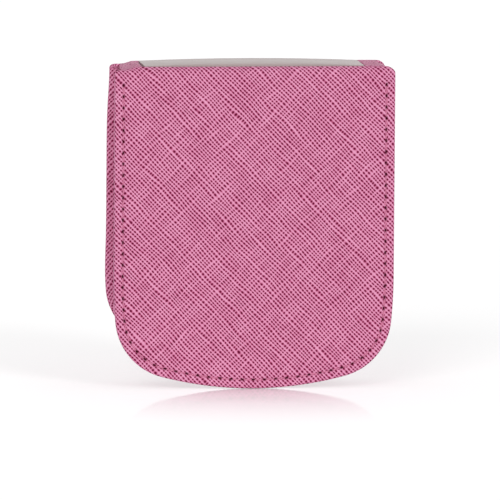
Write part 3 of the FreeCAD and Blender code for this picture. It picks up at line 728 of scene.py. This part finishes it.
def ridges(shader, where, angle, pitch, seed, weakest):
    """One family of embossed lines: 1 on a line, 0 between. angle is that of the lines' normal,
    and a line fades here and there to weakest."""
    across = (math.cos(angle), math.sin(angle), 0)
    length = (-math.sin(angle), math.cos(angle), 0)
    c = shader.vector("DOT_PRODUCT", where, across)
    a = shader.vector("DOT_PRODUCT", where, length)
    spot = shader.node("CombineXYZ", {0: shader.math("MULTIPLY", c, 0.3),
                                      1: shader.math("MULTIPLY", a, 0.07), 2: seed}).outputs[0]
    patch = shader.node("CombineXYZ", {0: shader.math("MULTIPLY", c, 0.5),
                                       1: shader.math("MULTIPLY", a, 0.14), 2: seed}).outputs[0]
    strength = shader.noise(patch, 1.0, 2.0)
    wander = shader.math("MULTIPLY_ADD", shader.noise(spot, 1.0, 1.0), 1.7, -0.85)
    phase = shader.math("ADD", shader.math("DIVIDE", c, pitch), wander)
    wave = shader.math("COSINE", shader.math("MULTIPLY", phase, 2 * math.pi))
    line = shader.math("MULTIPLY_ADD", wave, 0.5, 0.5)
    gain = shader.math("MULTIPLY_ADD", strength, 2.4, -0.7, clamp=True)
    gain = shader.math("MULTIPLY_ADD", gain, 1 - weakest, weakest)
    return shader.math("MULTIPLY", line, gain)


def leather():
    """Pink cross-hatched (saffiano) leatherette: two families of lines with pits between, its
    colour darkened with painted shade in the pits and in the needle holes.
    """
    s = Shader("leatherette")
    flat = s.flat()
    down = ridges(s, flat, math.radians(44), 1.0, 3.0, 0.78)
    up = ridges(s, flat, math.radians(-45.5), 1.07, 7.0, 0.55)
    furrow = s.math("MULTIPLY_ADD", s.math("SUBTRACT", 1.0, up), 0.8, 0.2)
    height = s.math("SUBTRACT", 1.0, s.math("MULTIPLY", s.math("SUBTRACT", 1.0, down), furrow))
    grain = s.noise(flat, 2.5, 3.0)
    tone = s.math("MULTIPLY_ADD", s.noise(flat, 0.09, 2.0), 0.14, -0.07)
    level = s.math("ADD", s.math("MULTIPLY_ADD", grain, 0.12, height), s.math("ADD", tone, -0.06))
    # The ramp darkens the colour down in the pits of the embossing: painted shade. The noise tone
    # added to the height is the leather's own uneven colour.
    colour = s.ramp(level, (0.14, linear(92, 2, 40)), (0.42, linear(154, 50, 94)),
                    (0.68, linear(206, 122, 158)), (0.97, linear(227, 158, 190)))
    # Painted shade: in a needle hole the colour goes to the dark of the hole's inside, and the
    # sheen is taken away.
    hole = s.node("Attribute", attribute_name="hole").outputs["Fac"]
    dark = s.node("Mix", {0: s.math("MULTIPLY", hole, 1.3, clamp=True), 6: colour,
                          7: PAINTED_HOLE_SHADE}, data_type="RGBA").outputs[2]
    s.set(Base_Color=dark, Roughness=s.math("MULTIPLY_ADD", height, -0.12, 0.58),
          Specular_IOR_Level=s.math("MULTIPLY", s.math("SUBTRACT", 1.0, hole, clamp=True), 0.1))
    s.bump(s.math("MULTIPLY_ADD", grain, 0.06, height), 0.12 * MM, 0.7)
    return s.material


def thread():
    """Three-ply pink sewing thread: slanting strands with fine fibres, darkened with painted shade
    towards its ends, where it goes down into the needle holes.
    """
    s = Shader("thread")
    made = s.node("Attribute", attribute_name="flat")
    parts = s.node("SeparateXYZ", {0: made.outputs["Vector"]})
    round_it = s.math("MULTIPLY", parts.outputs[1], 3.0)
    lay = s.math("MULTIPLY_ADD", parts.outputs[0], 9000.0, round_it)
    strand = s.math("MULTIPLY_ADD", s.math("SINE", lay), 0.5, 0.5)
    fibre = s.noise(s.place(), 12.0, 2.0)
    yarn = s.ramp(s.math("MULTIPLY_ADD", fibre, 0.3, strand), (0.2, linear(176, 90, 124)),
                  (1.0, linear(226, 142, 174)))
    # Painted shade: near its ends, where it goes down into a needle hole, the thread takes the
    # holes' dark colour.
    deep = s.math("MULTIPLY_ADD", parts.outputs[2], 5.0, -4.0, clamp=True)
    colour = s.node("Mix", {0: deep, 6: yarn, 7: PAINTED_HOLE_SHADE}, data_type="RGBA").outputs[2]
    s.set(Base_Color=colour, Roughness=0.75, Specular_IOR_Level=0.2)
    s.bump(strand, 0.05 * MM, 0.8)
    return s.material


def cloth(name, dark, light):
    """A fine plain weave. dark and light are 0-255 screen colours, here and below."""
    pitch = 0.45                                     # of its threads, in millimetres
    s = Shader(name)
    parts = s.node("SeparateXYZ", {0: s.place()})
    x = s.math("SINE", s.math("MULTIPLY", parts.outputs[0], 2 * math.pi / pitch))
    z = s.math("SINE", s.math("MULTIPLY", parts.outputs[2], 2 * math.pi / pitch))
    weave = s.math("MULTIPLY_ADD", s.math("MULTIPLY", x, z), 0.5, 0.5)
    mottle = s.noise(s.place(), 0.8, 3.0)
    s.set(Base_Color=s.ramp(s.math("MULTIPLY_ADD", mottle, 0.5, s.math("MULTIPLY", weave, 0.5)),
                            (0.1, linear(*dark)), (0.9, linear(*light))),
          Roughness=0.85, Specular_IOR_Level=0.15)
    s.bump(weave, 0.06 * MM, 0.5)
    return s.material


def plastic(name, dark, light, rough, bump=0.006):
    """Moulded plastic: a slight mottle in colour and sheen, and a fine moulded skin."""
    s = Shader(name)
    place = s.place()
    mottle = s.noise(place, 0.16, 3.0)
    fine = s.noise(place, 2.5, 4.0)
    s.set(Base_Color=s.ramp(mottle, (0.15, linear(*dark)), (0.85, linear(*light))),
          Roughness=s.math("MULTIPLY_ADD", fine, 0.06, rough - 0.03), Specular_IOR_Level=0.5)
    s.bump(fine, bump * MM, 0.6)
    return s.material


def velvet(name, dark, light):
    """Flocked foam."""
    s = Shader(name)
    place = s.place()
    pile = s.noise(place, 4.0, 4.0)
    brushed = s.noise(place, 0.12, 2.0)
    s.set(Base_Color=s.ramp(s.math("MULTIPLY_ADD", pile, 0.5, s.math("MULTIPLY", brushed, 0.5)),
                            (0.3, linear(*dark)), (0.75, linear(*light))),
          Roughness=0.95, Specular_IOR_Level=0.1, Sheen_Weight=0.35, Sheen_Roughness=0.5)
    s.bump(pile, 0.12 * MM, 0.7)
    return s.material


def metal(name, colour, rough, uneven, scale):
    """Polished metal or mirror glass, with a faint unevenness in its sheen."""
    s = Shader(name)
    brushed = s.noise(s.place(), scale, 3.0)
    darker = tuple(0.96 * c for c in colour[:3]) + (1,)
    s.set(Base_Color=s.ramp(brushed, (0.2, darker), (0.8, colour)),
          Metallic=1.0, Roughness=s.math("MULTIPLY_ADD", brushed, uneven, rough))
    return s.material


def bevel(node, width):
    """Rounds a CAD node's edges with modifiers, which leave its own mesh alone."""
    obj = frame["nodes"][node]
    weld = obj.modifiers.new("weld", "WELD")
    weld.merge_threshold = 0.002 * MM
    edge = obj.modifiers.new("bevel", "BEVEL")
    edge.width, edge.segments = width * MM, 2
    edge.limit_method, edge.angle_limit = "ANGLE", math.radians(35)
    edge.harden_normals = True
    edge.use_clamp_overlap = True


def finish_node(node, material, width=0.0):
    mesh = frame["nodes"][node].data
    mesh.materials.clear()
    mesh.materials.append(material)
    if width:
        bevel(node, width)


def dress(obj, material):
    obj.data.materials.clear()
    obj.data.materials.append(material)


pink_leather = leather()
sewing_thread = thread()
lining_weave = cloth("lining", (168, 104, 124), (214, 156, 174))
tray_skin = plastic("tray_plastic", (176, 163, 161), (181, 168, 166), 0.45, bump=0.01)
white_plastic = plastic("container_plastic", (226, 229, 232), (238, 240, 242), 0.3)
cap_white = plastic("cap_white", (236, 236, 234), (241, 241, 239), 0.36)
cap_pink = plastic("cap_pink", (206, 118, 150), (220, 134, 164), 0.36)
milky = plastic("bottle_plastic", (227, 232, 234), (233, 237, 239), 0.34)
frame_plastic = plastic("frame_plastic", (206, 200, 198), (222, 216, 214), 0.25)
seal_rubber = plastic("seal", (212, 212, 212), (228, 228, 228), 0.65, bump=0.03)
tool_plastic = plastic("tool_plastic", (216, 222, 228), (232, 237, 242), 0.28)
soft_rubber = plastic("soft_tip", (206, 124, 148), (222, 146, 168), 0.6, bump=0.03)
foam_skin = velvet("insert_foam", (158, 146, 146), (184, 172, 171))
mirror_glass = metal("mirror", (0.86, 0.89, 0.9, 1), 0.01, 0.01, 0.05)
nickel = metal("magnet", (0.4, 0.4, 0.42, 1), 0.3, 0.12, 2.0)

dress(flap_leather, pink_leather)
dress(back_leather, pink_leather)
dress(band_leather, pink_leather)
dress(flap_stitches, sewing_thread)
dress(back_stitches, sewing_thread)
dress(lining_cloth, lining_weave)
dress(foam, foam_skin)

for strap_lining in ("left_strap_lining", "right_strap_lining"):
    finish_node(strap_lining, lining_weave, 0.08)
finish_node("tray", tray_skin, 0.3)
finish_node("mirror", mirror_glass)
finish_node("mirror_frame", frame_plastic, 0.15)
finish_node("flap_magnet", nickel, 0.15)
finish_node("tray_magnet", nickel, 0.15)
finish_node("lens_container", white_plastic, 0.2)
finish_node("left_cap", cap_white, 0.12)
finish_node("right_cap", cap_pink, 0.12)
for sealing in ("left_seal", "right_seal", "bottle_cap_seal"):
    finish_node(sealing, seal_rubber, 0.12)
finish_node("bottle", milky, 0.2)
finish_node("bottle_nozzle", milky, 0.1)
finish_node("bottle_cap", cap_pink, 0.1)
for tool in ("tweezers_tail", "upper_arm", "lower_arm", "inserter_stick"):
    finish_node(tool, tool_plastic, 0.15)
for tip in ("upper_tip", "lower_tip", "inserter_cup"):
    finish_node(tip, soft_rubber, 0.12)


# --- what moves with what ---

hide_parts("flap_skin", "flap_board", "left_strap", "right_strap")
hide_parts("back_skin", "back_board", "back_lining")
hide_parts("flap_thread")
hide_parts("back_thread")
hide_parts("flap_lining")
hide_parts("side_band")
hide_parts("insert_top", "insert_middle", "insert_base")

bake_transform(flap_leather)
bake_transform(back_leather)
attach(flap_stitches, "flap")
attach(lining_cloth, "flap")
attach(back_stitches, "case")
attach(band_leather, "case")
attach(foam, "case")


# --- floor, light and camera ---


def stage():
    """A plain white floor, polished round the spot where the object stands."""
    size = 3.0                                       # in metres, from the middle to each side
    polished = 120.0                                 # in millimetres, from the middle outwards
    corners = [(-size, -size, 0), (size, -size, 0), (size, size, 0), (-size, size, 0)]
    floor = new_object("floor", corners, [(0, 1, 2, 3)])
    s = Shader("floor_white")
    bounced = s.node("LightPath").outputs["Is Diffuse Ray"]
    s.set(Base_Color=(0.95, 0.95, 0.95, 1), Roughness=0.9, Specular_IOR_Level=0.0,
          Emission_Color=(1, 1, 1, 1),
          Emission_Strength=s.math("MULTIPLY_ADD", bounced, -0.25, 0.34))
    cloudy = s.noise(s.place(), 0.01, 2.0)
    polish = s.node("BsdfGlossy", {"Roughness": s.math("MULTIPLY_ADD", cloudy, 0.04, 0.04)})
    away = s.node("VectorMath", {0: s.place()}, operation="LENGTH").outputs["Value"]
    near = s.math("SUBTRACT", 1.0, s.math("DIVIDE", away, polished), clamp=True)
    share = s.math("MULTIPLY", s.math("POWER", near, 2.0), 0.66)
    both = s.node("MixShader", {0: share, 1: s.surface.outputs[0], 2: polish.outputs[0]})
    s.tree.links.new(both.outputs[0], s.tree.nodes["Material Output"].inputs["Surface"])
    floor.data.materials.append(s.material)
    floor.location.z = cad_low.z - 0.05 * MM


def sun(name, toward, share, spread):
    """A soft sun. share is the brightness that it gives a white surface that faces it."""
    lamp = bpy.data.lights.new(name, "SUN")
    lamp.energy, lamp.angle = math.pi * share, math.radians(spread)
    obj = bpy.data.objects.new(name, lamp)
    bpy.context.scene.collection.objects.link(obj)
    obj.rotation_euler = Vector(toward).to_track_quat("Z", "Y").to_euler()


def studio():
    """A white room, which lights the object less than it shows."""
    world = bpy.data.worlds.new("studio")
    world.use_nodes = True
    tree = world.node_tree
    shown = tree.nodes["Background"]
    shown.inputs["Color"].default_value = (1, 1, 1, 1)
    shown.inputs["Strength"].default_value = 1.2
    soft = tree.nodes.new("ShaderNodeBackground")
    soft.inputs["Color"].default_value = (1, 1, 1, 1)
    soft.inputs["Strength"].default_value = 0.52
    path = tree.nodes.new("ShaderNodeLightPath")
    mix = tree.nodes.new("ShaderNodeMixShader")
    tree.links.new(path.outputs["Is Diffuse Ray"], mix.inputs[0])
    tree.links.new(shown.outputs[0], mix.inputs[1])
    tree.links.new(soft.outputs[0], mix.inputs[2])
    tree.links.new(mix.outputs[0], tree.nodes["World Output"].inputs["Surface"])
    bpy.context.scene.world = world
    bpy.context.scene.view_settings.view_transform = "Standard"


def viewpoint():
    """A far camera, a little to the left of the object and above it."""
    azimuth, elevation, roll = math.radians(-6.5), math.radians(6.3), math.radians(0.4)
    away, width = 3.4, 156.5 * MM                    # width is that of the picture at the object
    aim = (cad_low + cad_high) / 2 - Vector((0, 0, 8.6 * MM))
    data = bpy.data.cameras.new("camera")
    data.sensor_width = 36
    data.lens = data.sensor_width * away / width
    data.clip_start, data.clip_end = 0.05, 20
    camera = bpy.data.objects.new("camera", data)
    bpy.context.scene.collection.objects.link(camera)
    back = Vector((math.sin(azimuth) * math.cos(elevation),
                   -math.cos(azimuth) * math.cos(elevation), math.sin(elevation)))
    camera.location = aim + back * away
    camera.rotation_euler = back.to_track_quat("Z", "Y").to_euler()
    camera.rotation_euler.rotate_axis("Z", roll)
    bpy.context.scene.camera = camera


stage()
studio()
sun("left", (-0.4, -0.84, 0.42), 0.3, 30)
sun("right", (0.5, -0.8, 0.42), 0.23, 20)
viewpoint()
